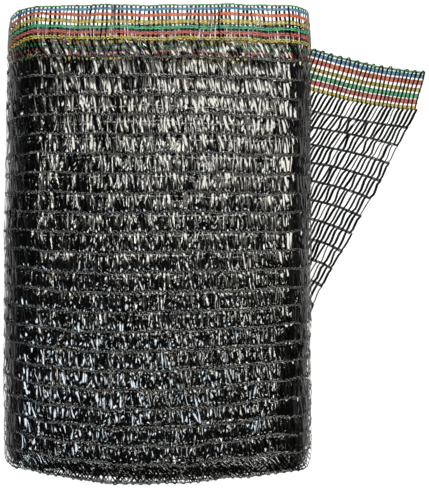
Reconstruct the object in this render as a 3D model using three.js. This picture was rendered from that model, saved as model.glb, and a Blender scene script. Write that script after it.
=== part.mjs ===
// A flattened roll of knitted shade net, lying on its flat back, with its loose end flat on the surface beside it.
// Millimetres. X runs across the roll, Y along it towards the coloured selvedge, Z up from the surface.
// The origin is at the middle of the roll's flat underside.

import * as THREE from 'three';

// ---------------------------------------------------------------------------------------------------------------
// Driving dimensions
// ---------------------------------------------------------------------------------------------------------------

const rollWidth = 202;            // across the flattened roll
const rollThickness = 54;         // from the flat underside to the top of the outer turn
const sideRadius = rollThickness / 2;
const flatHalf = rollWidth / 2 - sideRadius;   // half the width of the flat underside
const frontDrop = 2;              // how far the front falls from its middle line to where the sides turn down

const innerSelvedgeY = 139;       // where the inner turns' selvedges end, behind the outer turn's
const innerTurnedY = -146;        // where the inner turns' other edges end
const nestStart = 13;             // how far in from the outer turn both ends have become flat
const selvedgeRim = 2.5;          // the outer turns that stand proud of the inner ones at the selvedge

const sheetThickness = 1.2;       // the knitted net, tapes and stitches together

// The outer turn's selvedge, followed once round the roll. The net is wound a little on the skew, so the selvedge
// climbs from where the loose end leaves, along the underside, up the left side and over the front.
// share: how far round, from the right end of the underside. y: how far along the roll its edge reaches.
const selvedgeRound = [
  { share: 0.00, y: 138.0 },      // the loose end leaves
  { share: 0.13, y: 140.5 },      // along the underside
  { share: 0.32, y: 143.5 },      // left end of the underside
  { share: 0.41, y: 147.9 },      // left side
  { share: 0.45, y: 151.0 },
  { share: 0.50, y: 152.4 },      // left end of the front
  { share: 0.55, y: 153.6 },
  { share: 0.60, y: 154.4 },      // front
  { share: 0.71, y: 154.4 },
  { share: 0.82, y: 153.7 },      // right end of the front
  { share: 0.86, y: 154.2 },
  { share: 0.89, y: 153.7 },      // over the right side
  { share: 0.91, y: 151.1 },      // right side
  { share: 1.00, y: 138.0 },      // under the right side, back to the loose end
];

// The outer turn's other edge, which has slipped outwards in a bulge at the middle of the front.
const turnedRound = [
  { share: 0.00, y: -124.0 },
  { share: 0.32, y: -129.0 },
  { share: 0.41, y: -138.9 },     // left side
  { share: 0.45, y: -144.7 },
  { share: 0.48, y: -146.2 },
  { share: 0.52, y: -150.0 },     // left end of the front
  { share: 0.55, y: -153.1 },
  { share: 0.60, y: -154.7 },
  { share: 0.66, y: -154.9 },     // the bulge
  { share: 0.71, y: -154.6 },
  { share: 0.76, y: -152.6 },
  { share: 0.82, y: -149.5 },     // right end of the front
  { share: 0.86, y: -147.9 },
  { share: 0.89, y: -145.2 },
  { share: 0.91, y: -137.5 },     // right side
  { share: 1.00, y: -124.0 },
];

// The loose end's outline, on the surface. Its selvedge leaves the roll at the top and slopes down to the right, and
// its cut edge slants back under the roll.
const looseEnd = {
  innerX: 86,                     // just clear of the roll's rounded side
  selvedgeInnerY: 137.5,
  selvedgeBendX: 118,             // the selvedge is a little steeper near the roll
  selvedgeBendY: 129.5,
  tipX: 181.5,
  tipY: 117,
  bandFootX: 174,                 // where the cut leaves the stiff selvedge band
  bandFootY: 91.5,
  cutInnerY: -75.5,
};

// The roll's form softens towards its two ends.
const softLength = 110;           // over this length at each end
const endNarrowing = 0.022;       // how much narrower the very end is, as a share
const endThinning = 0.07;         // how much thinner, as a share

// How finely the roll is faceted. The side steps are even, so that each side has a point at its tip.
const flatSteps = 14;             // across the front, and across the underside
const sideSteps = 14;             // round each side
const lengthSteps = 14;           // along the roll

// ---------------------------------------------------------------------------------------------------------------
// The wound roll
// ---------------------------------------------------------------------------------------------------------------

const selvedgeTop = Math.max(...selvedgeRound.map((row) => row.y));
const turnedFoot = Math.min(...turnedRound.map((row) => row.y));

// The value of a table at a share of the way round, on one smooth curve through its rows.
function atShare(table, share) {
  const high = Math.max(1, table.findIndex((row) => row.share >= share));
  const slopeBetween = (a, b) => (b.y - a.y) / (b.share - a.share);
  const slopeAt = (row) => slopeBetween(table[Math.max(row - 1, 0)], table[Math.min(row + 1, table.length - 1)]);
  const from = table[high - 1];
  const to = table[high];
  const span = to.share - from.share;
  const t = (share - from.share) / span;
  const leaving = slopeAt(high - 1) * span * t * (1 - t) ** 2;
  const arriving = slopeAt(high) * span * t * t * (t - 1);
  return THREE.MathUtils.lerp(from.y, to.y, t * t * (3 - 2 * t)) + leaving + arriving;
}

// The flattened section, once round: along the underside to the left, up the left side, over the front and down the
// right side. Each point has its share of the way round.
function sectionPoints() {
  const points = [];
  const upperRise = sideRadius - frontDrop;
  const sidePoint = (middleX, outwards, angle) => ({
    x: middleX + outwards * sideRadius * Math.sin(angle),
    z: sideRadius - (angle > Math.PI / 2 ? upperRise : sideRadius) * Math.cos(angle),
  });
  for (let i = 0; i < flatSteps; i += 1) {
    points.push({ x: flatHalf * (1 - (2 * i) / flatSteps), z: 0 });
  }
  for (let i = 0; i < sideSteps; i += 1) {
    points.push(sidePoint(-flatHalf, -1, (Math.PI * i) / sideSteps));
  }
  for (let i = 0; i < flatSteps; i += 1) {
    const across = (2 * i) / flatSteps - 1;
    points.push({ x: flatHalf * across, z: rollThickness - frontDrop * across * across });
  }
  for (let i = 0; i < sideSteps; i += 1) {
    points.push(sidePoint(flatHalf, 1, Math.PI * (1 - i / sideSteps)));
  }
  const stepTo = (i) => {
    const before = points[(i + points.length - 1) % points.length];
    return Math.hypot(points[i].x - before.x, points[i].z - before.z);
  };
  const around = points.reduce((sum, _, i) => sum + stepTo(i), 0);
  let gone = 0;
  points.forEach((point, i) => {
    gone += i === 0 ? 0 : stepTo(i);
    point.share = gone / around;
  });
  return points;
}

// A section point drawn in towards the section's own middle line, as the inner turns are.
function drawnIn(point, inset) {
  const keep = 1 - inset / sideRadius;
  const middleX = THREE.MathUtils.clamp(point.x, -flatHalf, flatHalf);
  return {
    x: middleX + (point.x - middleX) * keep,
    z: sideRadius + (point.z - sideRadius) * keep,
  };
}

// A section point placed at y, on the roll's slightly narrower and thinner ends.
function placed(point, y) {
  const fromEnd = Math.min(selvedgeTop - y, y - turnedFoot);
  const near = THREE.MathUtils.clamp(1 - fromEnd / softLength, 0, 1) ** 2;
  return [point.x * (1 - endNarrowing * near), y, point.z * (1 - endThinning * near)];
}

// The rings that the roll's skin runs through, each a rule that takes a section point to its place: out over the
// turned end, along the roll, over the selvedge rim and down on the inner turns.
function ringRules() {
  const { lerp } = THREE.MathUtils;
  const turnedY = (p) => atShare(turnedRound, p.share);
  const selvedgeY = (p) => atShare(selvedgeRound, p.share);
  const turnedEnd = [
    (p) => placed(drawnIn(p, nestStart), innerTurnedY),
    (p) => placed(drawnIn(p, nestStart / 2), lerp(innerTurnedY, turnedY(p), 0.5)),
    (p) => placed(drawnIn(p, 1), turnedY(p)),
  ];
  const outside = Array.from({ length: lengthSteps + 1 }, (_, i) => (
    (p) => placed(p, lerp(turnedY(p) + 1, selvedgeY(p), i / lengthSteps))
  ));
  const selvedgeEnd = [
    (p) => placed(drawnIn(p, selvedgeRim), selvedgeY(p)),
    (p) => placed(drawnIn(p, selvedgeRim + 2), Math.min(selvedgeY(p) - 1, innerSelvedgeY + 2)),
    (p) => placed(drawnIn(p, nestStart), innerSelvedgeY),
  ];
  return [...turnedEnd, ...outside, ...selvedgeEnd];
}

// The triangles that close one end's last ring, in a strip between its front half and its back half.
function endStrip(firstIndex, count, facesSelvedge) {
  const leftTip = flatSteps + sideSteps / 2;
  const strip = [];
  for (let k = 0; k < count / 2; k += 1) {
    const front = [leftTip + k, leftTip + k + 1].map((i) => i % count);
    const back = [leftTip - k, leftTip - k - 1].map((i) => (i + count) % count);
    const corners = [[front[0], front[1], back[1]], [front[0], back[1], back[0]]];
    corners
      .filter(([a, b, c]) => a !== b && b !== c && c !== a)
      .forEach(([a, b, c]) => strip.push(...(facesSelvedge ? [a, b, c] : [a, c, b]).map((i) => firstIndex + i)));
  }
  return strip;
}

function woundRollGeometry() {
  const section = sectionPoints();
  const count = section.length;
  const rings = ringRules();
  const positions = rings.flatMap((rule) => section.flatMap((point) => rule(point)));
  const faces = [];
  for (let r = 0; r + 1 < rings.length; r += 1) {
    for (let i = 0; i < count; i += 1) {
      const here = r * count + i;
      const next = r * count + ((i + 1) % count);
      faces.push(here, next, next + count, here, next + count, here + count);
    }
  }
  faces.push(...endStrip(0, count, false));
  faces.push(...endStrip((rings.length - 1) * count, count, true));
  const geometry = new THREE.BufferGeometry();
  geometry.setAttribute('position', new THREE.Float32BufferAttribute(positions, 3));
  geometry.setIndex(faces);
  geometry.computeVertexNormals();
  return geometry;
}

// ---------------------------------------------------------------------------------------------------------------
// The loose end
// ---------------------------------------------------------------------------------------------------------------

function looseEndGeometry() {
  const outline = new THREE.Shape();
  outline.moveTo(looseEnd.innerX, looseEnd.cutInnerY);
  outline.lineTo(looseEnd.bandFootX, looseEnd.bandFootY);
  outline.lineTo(looseEnd.tipX, looseEnd.tipY);
  outline.quadraticCurveTo(looseEnd.selvedgeBendX, looseEnd.selvedgeBendY, looseEnd.innerX, looseEnd.selvedgeInnerY);
  outline.closePath();
  return new THREE.ExtrudeGeometry(outline, { depth: sheetThickness, bevelEnabled: false, curveSegments: 8 });
}

// ---------------------------------------------------------------------------------------------------------------
// Assembly
// ---------------------------------------------------------------------------------------------------------------

const netBlack = new THREE.MeshStandardMaterial({ color: 0x1b1d1c, roughness: 0.42, metalness: 0 });
const looseNetBlack = new THREE.MeshStandardMaterial({ color: 0x202221, roughness: 0.46, metalness: 0 });

const woundRoll = new THREE.Mesh(woundRollGeometry(), netBlack);
woundRoll.name = 'wound_roll';

const looseEndSheet = new THREE.Mesh(looseEndGeometry(), looseNetBlack);
looseEndSheet.name = 'loose_end';

const shadeCloth = new THREE.Group();
shadeCloth.add(woundRoll, looseEndSheet);

export default shadeCloth;
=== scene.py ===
"""A flattened roll of knitted shade net with its loose end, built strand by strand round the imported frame."""

import math

import bpy
import numpy as np
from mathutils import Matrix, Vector


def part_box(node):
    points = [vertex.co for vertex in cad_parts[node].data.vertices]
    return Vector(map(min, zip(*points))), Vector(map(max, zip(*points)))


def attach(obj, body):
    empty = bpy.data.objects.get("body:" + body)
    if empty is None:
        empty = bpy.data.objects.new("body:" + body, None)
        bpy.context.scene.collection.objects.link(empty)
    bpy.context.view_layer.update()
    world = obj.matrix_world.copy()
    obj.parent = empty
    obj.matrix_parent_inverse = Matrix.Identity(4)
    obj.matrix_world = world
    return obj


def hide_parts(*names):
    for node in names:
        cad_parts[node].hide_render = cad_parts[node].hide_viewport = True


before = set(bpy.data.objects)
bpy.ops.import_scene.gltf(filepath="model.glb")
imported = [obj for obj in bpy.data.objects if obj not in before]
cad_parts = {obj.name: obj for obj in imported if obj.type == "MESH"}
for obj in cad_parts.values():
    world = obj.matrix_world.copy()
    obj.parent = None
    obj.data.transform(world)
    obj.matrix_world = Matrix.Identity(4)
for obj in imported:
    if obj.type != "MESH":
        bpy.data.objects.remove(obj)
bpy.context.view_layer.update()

bl_info = {
    "name": "Rolled Shade Net",
    "version": (1, 0, 0),
    "blender": (4, 5, 0),
    "location": "View3D > Sidebar > Shade Net",
    "description": "A pressed roll of knitted shade net with a coloured selvedge and a loose end",
    "category": "Object",
}

MM = 0.001
BODY = "root"
SEED = 7

# --------------------------------------------------------------------------------------------------
# The frame's own sizes
# --------------------------------------------------------------------------------------------------

ROLL_LOW, ROLL_HIGH = (np.array(corner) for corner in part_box("wound_roll"))
LOOSE_LOW, LOOSE_HIGH = (np.array(corner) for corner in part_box("loose_end"))

ROLL_LENGTH = ROLL_HIGH[1] - ROLL_LOW[1]
THICKNESS = ROLL_HIGH[2] - ROLL_LOW[2]
SIDE = THICKNESS / 2              # radius of the roll's rounded sides
SPARE = 0.6 * MM                  # each half of the winding is laid this much wider, to fill the frame's box
FLAT = (ROLL_HIGH[0] - ROLL_LOW[0]) / 2 - SIDE + SPARE      # half the roll's flat underside
FRONT_DROP = 2 * MM               # how far the front falls towards its sides
SOFT_LENGTH = 110 * MM            # the roll thins over this length at each end,
END_THINNING = 0.07               # by this share of its height
DROOP_LENGTH = 16 * MM            # its soft turned edge droops over this length,
EDGE_DROOP = 0.06                 # by this share of its height
NECK_LENGTH = 48 * MM             # it narrows over this length at the selvedge,
END_NARROWING = 0.022             # by this share of its width,
END_SHIFT = 0.7 * MM              # and is pressed this far askew there
LEFT_IN = 1.7 * MM                # how far the left side stands in, over the selvedge's half,
LEFT_IN_OVER = 60 * MM            # and the length over which it comes in

# The winding is followed by a quarter count: 0 where the loose end leaves, 1 at the left end of the
# underside, 2 at the left end of the front, 3 at its right end, 4 back under the right side and one turn
# further in.
QUARTERS = 4

# How far the outer turn's two edges stay back from the roll's ends, in millimetres, followed round the roll.
OUTER_EDGES = (
    {"quarter": 0.00, "selvedge": 16.2, "turned": 30.8},
    {"quarter": 1.00, "selvedge": 11.0, "turned": 26.0},
    {"quarter": 1.50, "selvedge": 6.6, "turned": 16.0},
    {"quarter": 1.64, "selvedge": 4.8, "turned": 12.4},
    {"quarter": 1.74, "selvedge": 2.0, "turned": 9.9},
    {"quarter": 1.83, "selvedge": 1.3, "turned": 9.6},
    {"quarter": 1.92, "selvedge": 1.2, "turned": 8.3},
    {"quarter": 2.05, "selvedge": 1.2, "turned": 4.9},
    {"quarter": 2.16, "selvedge": 0.9, "turned": 1.8},
    {"quarter": 2.30, "selvedge": 0.7, "turned": -1.5},
    {"quarter": 2.50, "selvedge": 0.5, "turned": -0.8},
    {"quarter": 2.65, "selvedge": 0.0, "turned": 0.2},
    {"quarter": 2.80, "selvedge": 0.3, "turned": 2.3},
    {"quarter": 2.88, "selvedge": 0.5, "turned": 3.0},
    {"quarter": 3.00, "selvedge": 0.8, "turned": 5.4},
    {"quarter": 3.24, "selvedge": 0.2, "turned": 7.0},
    {"quarter": 3.36, "selvedge": 0.6, "turned": 9.0},
    {"quarter": 3.50, "selvedge": 3.4, "turned": 18.0},
    {"quarter": 4.00, "selvedge": 12.6, "turned": 27.0},
)

# How far the inner turns' edges stay back, one turn of them, which every inner turn follows.
INNER_EDGES = (
    {"quarter": 0.00, "selvedge": 15.0, "turned": 27.0},
    {"quarter": 1.00, "selvedge": 14.0, "turned": 24.0},
    {"quarter": 1.50, "selvedge": 13.6, "turned": 20.0},
    {"quarter": 1.85, "selvedge": 13.8, "turned": 12.0},
    {"quarter": 2.05, "selvedge": 14.0, "turned": 10.0},
    {"quarter": 2.20, "selvedge": 14.0, "turned": 5.0},
    {"quarter": 2.45, "selvedge": 14.0, "turned": 2.2},
    {"quarter": 2.65, "selvedge": 14.0, "turned": 3.2},
    {"quarter": 2.85, "selvedge": 14.0, "turned": 5.6},
    {"quarter": 3.10, "selvedge": 14.0, "turned": 8.0},
    {"quarter": 3.30, "selvedge": 14.2, "turned": 10.0},
    {"quarter": 3.50, "selvedge": 14.4, "turned": 22.0},
    {"quarter": 4.00, "selvedge": 15.0, "turned": 27.0},
)
SECOND_TURNED = 0.8 * MM     # how far the second turn's turned edge stays back behind the outer turn's
DEEP_TURNED = 9.0 * MM       # how far back the deepest turns' turned edges stay, whatever the outer turn does
DEEP_AT = 13 * MM            # how deep that is
DEEP_LATE = 1.4              # how late the turns come to it, where 1 is evenly

# The inner turns' edges stray in two waves: how far in millimetres, how quick in radians to a quarter count.
INNER_STRAY = ({"far": 0.9, "quick": 0.61, "start": 0}, {"far": 0.6, "quick": 1.37, "start": 1})


def from_table(table, column, quarter):
    """A column of a table at each quarter count, in metres."""
    at = [row["quarter"] for row in table]
    return np.interp(quarter, at, [row[column] * MM for row in table])


# --------------------------------------------------------------------------------------------------
# Settings
# --------------------------------------------------------------------------------------------------

def length(name, description, default):
    return bpy.props.FloatProperty(name=name, description=description, default=default, unit="LENGTH",
                                   subtype="DISTANCE", precision=5)


def linear(code):
    """A six-figure sRGB code as linear red, green and blue."""
    channels = (int(code[i:i + 2], 16) / 255 for i in (0, 2, 4))
    return tuple(c / 12.92 if c <= 0.04045 else ((c + 0.055) / 1.055) ** 2.4 for c in channels)


def colour(name, description, code):
    return bpy.props.FloatVectorProperty(name=name, description=description, default=linear(code), size=3,
                                         subtype="COLOR", min=0.0, max=1.0)


class ShadeNetSizes(bpy.types.PropertyGroup):
    chain_pitch: length("Chain pitch", "Between two black stitch chains, across the cloth", 12.37 * MM)
    course_pitch: length("Course pitch", "From one stitch to the next along a chain", 2.72 * MM)
    tape_width: length("Tape width", "Width of the inlaid tape where it lies flat", 1.5 * MM)
    tape_fold: length("Tape fold", "Height of the tape's lengthwise crease", 0.08 * MM)
    layer_pitch: length("Layer pitch", "From one wound turn to the next", 1.0 * MM)
    turns: bpy.props.IntProperty(name="Turns", description="Wound turns in the roll", default=25,
                                 min=5, max=27)


class ShadeNetColours(bpy.types.PropertyGroup):
    tape: colour("Tape", "Black net tape", "020202")
    # The rims' colour is painted light: the same black tape, painted grey so that each turn shows in the shade
    # of the roll's ends.
    rims: colour("Rims with painted light", "The black tape's turns deep in the roll's ends, painted grey as light on their rims", "484842")
    edge: colour("Edge yarn", "Thin yarn at the very edge", "225A2C")
    blue: colour("Blue yarn", "First yarn of the selvedge", "1B4A66")
    orange: colour("Orange yarn", "Second yarn", "783017")
    olive: colour("Olive yarn", "Third yarn", "6C6018")
    emerald: colour("Emerald yarn", "Fourth yarn", "17643F")
    red: colour("Red yarn", "Fifth yarn", "762C25")
    gold: colour("Gold yarn", "Sixth yarn", "75691D")


def sizes():
    return bpy.context.scene.shade_net_sizes


def colours():
    return bpy.context.scene.shade_net_colours


# The yarns knitted along the selvedge, from the edge inwards, in millimetres. at: distance from the edge,
# wide: the chain's width, loose: its width in the loose end, where nothing presses on it, over: how far its
# stitches stand over the black strands, parted: how far open they are, from 0 to 1.
SELVEDGE_YARNS = (
    {"name": "edge", "at": 0.3, "wide": 1.0, "loose": 1.6, "over": 0.2, "parted": 0.3},
    {"name": "blue", "at": 2.8, "wide": 1.8, "loose": 2.9, "over": 0.3, "parted": 0.35},
    {"name": "orange", "at": 6.7, "wide": 2.2, "loose": 3.4, "over": 0.3, "parted": 0.35},
    {"name": "olive", "at": 11.4, "wide": 2.8, "loose": 2.7, "over": 0.2, "parted": 0.55},
    {"name": "emerald", "at": 15.5, "wide": 2.3, "loose": 3.4, "over": 0.3, "parted": 0.8},
    {"name": "red", "at": 19.2, "wide": 2.3, "loose": 3.4, "over": 0.3, "parted": 0.8},
    {"name": "gold", "at": 23.2, "wide": 2.6, "loose": 2.7, "over": 0.15, "parted": 0.9},
)
BAND = 24.2 * MM             # from the edge to where the open net starts, just past the last coloured yarn


# --------------------------------------------------------------------------------------------------
# The wound surface
# --------------------------------------------------------------------------------------------------

BASE_INSET = 0.1 * MM        # the outer turn's middle line, under the frame's own outer face

# How the rows follow the cloth's two edges. Places are counted in from the selvedge.
SELVEDGE_LOST = 0.75         # this share of the selvedge's own course is lost,
SELVEDGE_OVER = 75 * MM      # over this length past the band, and the rest over the whole roll
TURNED_LATE = 2.6            # how late the rows take up the turned edge's course, where 1 is evenly

# How the rows bow on the front. Its middle and half width are in quarter counts.
BOW = 2.5 * MM
BOW_AT, BOW_WIDE = 2.35, 0.42
BOW_OVER = 34 * MM           # it grows over this length from the selvedge,
SWING_FROM, SWING_OVER = 40 * MM, 200 * MM     # swings to the other side from here, over this length,
BOW_END, BOW_FADE = 0.82, 0.16                 # and fades from and over these shares of the roll's length

# How the coloured rows crowd up on the left shoulder.
CROWD = 3.0 * MM
CROWD_AT, CROWD_WIDE = 1.93, 0.14
CROWD_OVER = 10 * MM         # it grows over this length from the selvedge,
CROWD_END, CROWD_FADE = 26 * MM, 50 * MM       # and fades from here, over this length


def section(quarter, inset):
    """Places on the flattened section: x and z for each quarter count, inset towards the middle."""
    q = np.mod(quarter, QUARTERS)
    keep = 1 - inset / SIDE
    radius = SIDE * keep
    upper = (SIDE - FRONT_DROP) * keep
    across = 2 * (q - 2) - 1
    left = math.pi * (q - 1)
    right = math.pi * (4 - q)
    under_x, under_z = FLAT * (1 - 2 * q), SIDE - radius
    front_x, front_z = FLAT * across, SIDE + upper + FRONT_DROP * (1 - across ** 2) * keep
    left_x = -FLAT - radius * np.sin(left)
    left_z = SIDE - np.where(left > math.pi / 2, upper, radius) * np.cos(left)
    right_x = FLAT + radius * np.sin(right)
    right_z = SIDE - np.where(right > math.pi / 2, upper, radius) * np.cos(right)
    where = [q < 1, q < 2, q < 3]
    x = np.select(where, [under_x, left_x, front_x], right_x)
    return x, np.select(where, [under_z, left_z, front_z], right_z)


def edges_back(quarter):
    """How far back from the roll's ends the cloth's two edges lie, at each quarter count of the winding."""
    turn = np.mod(quarter, QUARTERS)
    depth = quarter / QUARTERS * sizes().layer_pitch
    stray = sum(wave["far"] * MM * np.sin(quarter * wave["quick"] + wave["start"]) for wave in INNER_STRAY)
    selvedge = from_table(INNER_EDGES, "selvedge", turn) + stray
    deep = np.clip(depth / DEEP_AT, 0, 1) ** DEEP_LATE
    turned = from_table(INNER_EDGES, "turned", turn) * (1 - deep) + DEEP_TURNED * deep - stray
    second = quarter < 2 * QUARTERS
    turned = np.where(second, from_table(OUTER_EDGES, "turned", turn) + SECOND_TURNED, turned)
    outer = quarter < QUARTERS
    return (np.where(outer, from_table(OUTER_EDGES, "selvedge", quarter), selvedge),
            np.where(outer, from_table(OUTER_EDGES, "turned", quarter), turned))


def ease(t):
    """A smooth step from 0 to 1."""
    t = np.clip(t, 0, 1)
    return t * t * (3 - 2 * t)


def near(distance, over):
    """1 at an end of the roll, falling softly to 0 at the given distance from it."""
    return np.clip(1 - distance / over, 0, 1) ** 2


def height(quarter, down):
    """The y of cloth that lies down metres in from the selvedge, as if it ran the roll's whole length."""
    back, turned = edges_back(quarter)
    turn = np.mod(quarter, QUARTERS)
    share = down / ROLL_LENGTH
    by_selvedge = 1 - SELVEDGE_LOST * ease((down - BAND) / SELVEDGE_OVER) - (1 - SELVEDGE_LOST) * ease(share)
    by_turned = np.clip(share, 0, None) ** TURNED_LATE
    front = np.exp(-((turn - BOW_AT) / BOW_WIDE) ** 2)
    swing = np.cos(math.pi * np.clip((down - SWING_FROM) / SWING_OVER, 0, 1))
    bow = BOW * front * swing * ease(down / BOW_OVER) * (1 - ease((share - BOW_END) / BOW_FADE))
    crowd = CROWD * np.exp(-((turn - CROWD_AT) / CROWD_WIDE) ** 2)
    crowd = crowd * ease(down / CROWD_OVER) * (1 - ease((down - CROWD_END) / CROWD_FADE))
    return ROLL_HIGH[1] - down - back * by_selvedge + turned * by_turned + bow + crowd


# The cloth's unevenness is three waves: how high, how long along and down the cloth in millimetres, where a
# negative length slants the other way, and how far the phase moves them.
WAVES = (
    {"high": 0.5, "along": 83, "down": 140, "moved": 1.0},
    {"high": 0.3, "along": 31, "down": -47, "moved": 1.7},
    {"high": 0.2, "along": 17, "down": 23, "moved": 2.3},
)


def wobble(along, down, phase):
    """A soft unevenness between about -1 and 1 over the cloth."""
    a, b = along / MM, down / MM
    waves = ((wave["high"], a / wave["along"] + b / wave["down"] + wave["moved"] * phase) for wave in WAVES)
    return sum(high * np.sin(2 * math.pi * turns) for high, turns in waves)


ARC_STEPS = 48               # points to a quarter of a turn at which the arc length is worked out
AHEAD = 0.01                 # how far on and back the cloth's run is read, in quarter counts
COURSE_STRAY = 1.2 * MM      # how far the courses stray along the cloth
LAYER_STRAY = 0.5 * MM       # how far a turn stands off its place in the winding

# How far the rows stray, in millimetres: at the selvedge, and what is added from a place on, over a length.
# The last part before the turned edge loses a share of it. Their waves are longer than the cloth's own.
ROW_STRAY = 0.75
MORE_STRAY = ({"more": 0.6, "from": 0, "over": 60}, {"more": 0.9, "from": 200, "over": 100})
EDGE_HOLDS, EDGE_PART, EDGE_OVER = 0.6, 16 * MM, 14 * MM
ROW_WAVES_ALONG, ROW_WAVES_DOWN = 0.8, 0.45


class Winding:
    """The spiral that the cloth follows, as arc length against quarter count."""

    def __init__(self):
        steps = sizes().turns * QUARTERS * ARC_STEPS
        self.quarter = np.linspace(0, sizes().turns * QUARTERS, steps + 1)
        x, z = section(self.quarter, self.inset(self.quarter))
        self.arc = np.concatenate([[0], np.cumsum(np.hypot(np.diff(x), np.diff(z)))])

    @staticmethod
    def inset(quarter):
        return BASE_INSET + quarter / QUARTERS * sizes().layer_pitch

    def quarter_at(self, along):
        return np.interp(along, self.arc, self.quarter)

    def along_at(self, quarter):
        return np.interp(quarter, self.quarter, self.arc)

    def place(self, along, down, out):
        """Points on the winding, with the unit vectors along the cloth and out of it."""
        quarter = self.quarter_at(along + COURSE_STRAY * wobble(along, down, phase=0.37))
        rise = out + LAYER_STRAY * wobble(along, down, phase=0.11)
        back, here, on = (section(q, self.inset(q) - rise)
                          for q in (quarter - AHEAD, quarter, quarter + AHEAD))
        astray = ROW_STRAY
        for part in MORE_STRAY:
            astray = astray + part["more"] * ease((down - part["from"] * MM) / (part["over"] * MM))
        astray = astray * (1 - EDGE_HOLDS * ease((down - ROLL_LENGTH + EDGE_PART) / EDGE_OVER))
        rows = wobble(ROW_WAVES_ALONG * along, ROW_WAVES_DOWN * down, phase=0.71)
        y = height(quarter, down) + astray * MM * rows
        neck = near(ROLL_HIGH[1] - y, NECK_LENGTH)
        x = here[0] * (1 - END_NARROWING * neck) + END_SHIFT * neck
        x = x + LEFT_IN * ease(y / LEFT_IN_OVER) * (0.5 - x / (2 * (FLAT + SIDE)))
        thinned = END_THINNING * near(np.minimum(ROLL_HIGH[1] - y, y - ROLL_LOW[1]), SOFT_LENGTH)
        z = here[1] * (1 - thinned - EDGE_DROOP * near(y - ROLL_LOW[1], DROOP_LENGTH))
        ahead = unit(np.stack([on[0] - back[0], np.zeros_like(y), on[1] - back[1]], -1))
        outward = np.stack([-ahead[..., 2], np.zeros_like(y), ahead[..., 0]], -1)
        return np.stack([x, y, z], -1), ahead, outward


def unit(vectors):
    return vectors / np.maximum(np.linalg.norm(vectors, axis=-1, keepdims=True), 1e-12)


# --------------------------------------------------------------------------------------------------
# Strands: many closed, four-sided tapes and yarns joined in one mesh
# --------------------------------------------------------------------------------------------------

TAPE, STITCH, RIM, FIRST_YARN = 0, 1, 2, 3      # the material slots of every knitted piece
FLOOR_GAP = 0.05 * MM                           # no strand comes nearer the floor than this


class Strands:
    """Collects strands as arrays and makes them one mesh, with four corners at each point of a strand."""

    def __init__(self):
        self.corners, self.quads, self.tones, self.slots = [], [], [], []
        self.count = 0

    def add(self, path, across, upward, tone, slot):
        """path, across and upward are (strands, points, 3), across and upward being half the width and half
        the thickness. tone is one value for each strand, (strands, 1), or for each point of it."""
        n, k = path.shape[:2]
        ahead = np.gradient(path, axis=1)
        turn = np.sum(np.cross(across, upward) * ahead, axis=(1, 2))
        upward = upward * np.where(turn < 0, -1, 1)[:, None, None]
        corners = np.stack([path + across, path + upward, path - across, path - upward], axis=2)
        first = self.count + np.arange(n)[:, None, None] * k * 4 + np.arange(k - 1)[None, :, None] * 4
        here = np.arange(4)[None, None, :]
        after = (here + 1) % 4
        sides = np.stack([first + here, first + after, first + 4 + after, first + 4 + here], axis=-1)
        start = self.count + np.arange(n)[:, None] * k * 4
        ends = np.concatenate([start + np.array([3, 2, 1, 0]), start + (k - 1) * 4 + np.array([0, 1, 2, 3])])
        quads = np.concatenate([sides.reshape(-1, 4), ends])
        self.corners.append(corners.reshape(-1, 3))
        self.quads.append(quads)
        self.tones.append(np.repeat(np.broadcast_to(tone, (n, k)).ravel(), 4))
        self.slots.append(np.full(len(quads), slot))
        self.count += n * k * 4

    def finish(self, name, materials, slot, folded=False):
        """Makes the mesh. A folded tape keeps its crease as sharp as its edges."""
        corners = np.concatenate(self.corners)
        corners[:, 2] = np.maximum(corners[:, 2], FLOOR_GAP)
        quads = np.concatenate(self.quads)
        mesh = bpy.data.meshes.new(name)
        mesh.vertices.add(len(corners))
        mesh.vertices.foreach_set("co", corners.ravel())
        mesh.loops.add(quads.size)
        mesh.loops.foreach_set("vertex_index", quads.ravel())
        mesh.polygons.add(len(quads))
        mesh.polygons.foreach_set("loop_start", np.arange(0, quads.size, 4))
        mesh.polygons.foreach_set("material_index", np.concatenate(self.slots))
        mesh.polygons.foreach_set("use_smooth", np.ones(len(quads), dtype=bool))
        mesh.update(calc_edges=True)
        edges = np.empty(len(mesh.edges) * 2, dtype=np.int64)
        mesh.edges.foreach_get("vertices", edges)
        corner = edges.reshape(-1, 2) % 4
        sharp = (corner[:, 0] == corner[:, 1]) & (folded | (corner[:, 0] % 2 == 0))
        mesh.attributes.new("sharp_edge", "BOOLEAN", "EDGE").data.foreach_set("value", sharp)
        mesh.attributes.new("tone", "FLOAT", "POINT").data.foreach_set("value", np.concatenate(self.tones))
        for material in materials:
            mesh.materials.append(material)
        piece = bpy.data.objects.new(name, mesh)
        bpy.context.scene.collection.objects.link(piece)
        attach(piece, BODY)
        return piece


def twisted(path, ahead_of_cloth, half_width, half_thickness, twist):
    """The half width and half thickness of tapes that start flat on the cloth and are turned by twist."""
    run = unit(np.gradient(path, axis=1))
    flat = unit(ahead_of_cloth - np.sum(ahead_of_cloth * run, axis=-1, keepdims=True) * run)
    up = np.cross(run, flat)
    c, s = np.cos(twist)[..., None], np.sin(twist)[..., None]
    return (c * flat + s * up) * half_width[..., None], (c * up - s * flat) * half_thickness[..., None]


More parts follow.
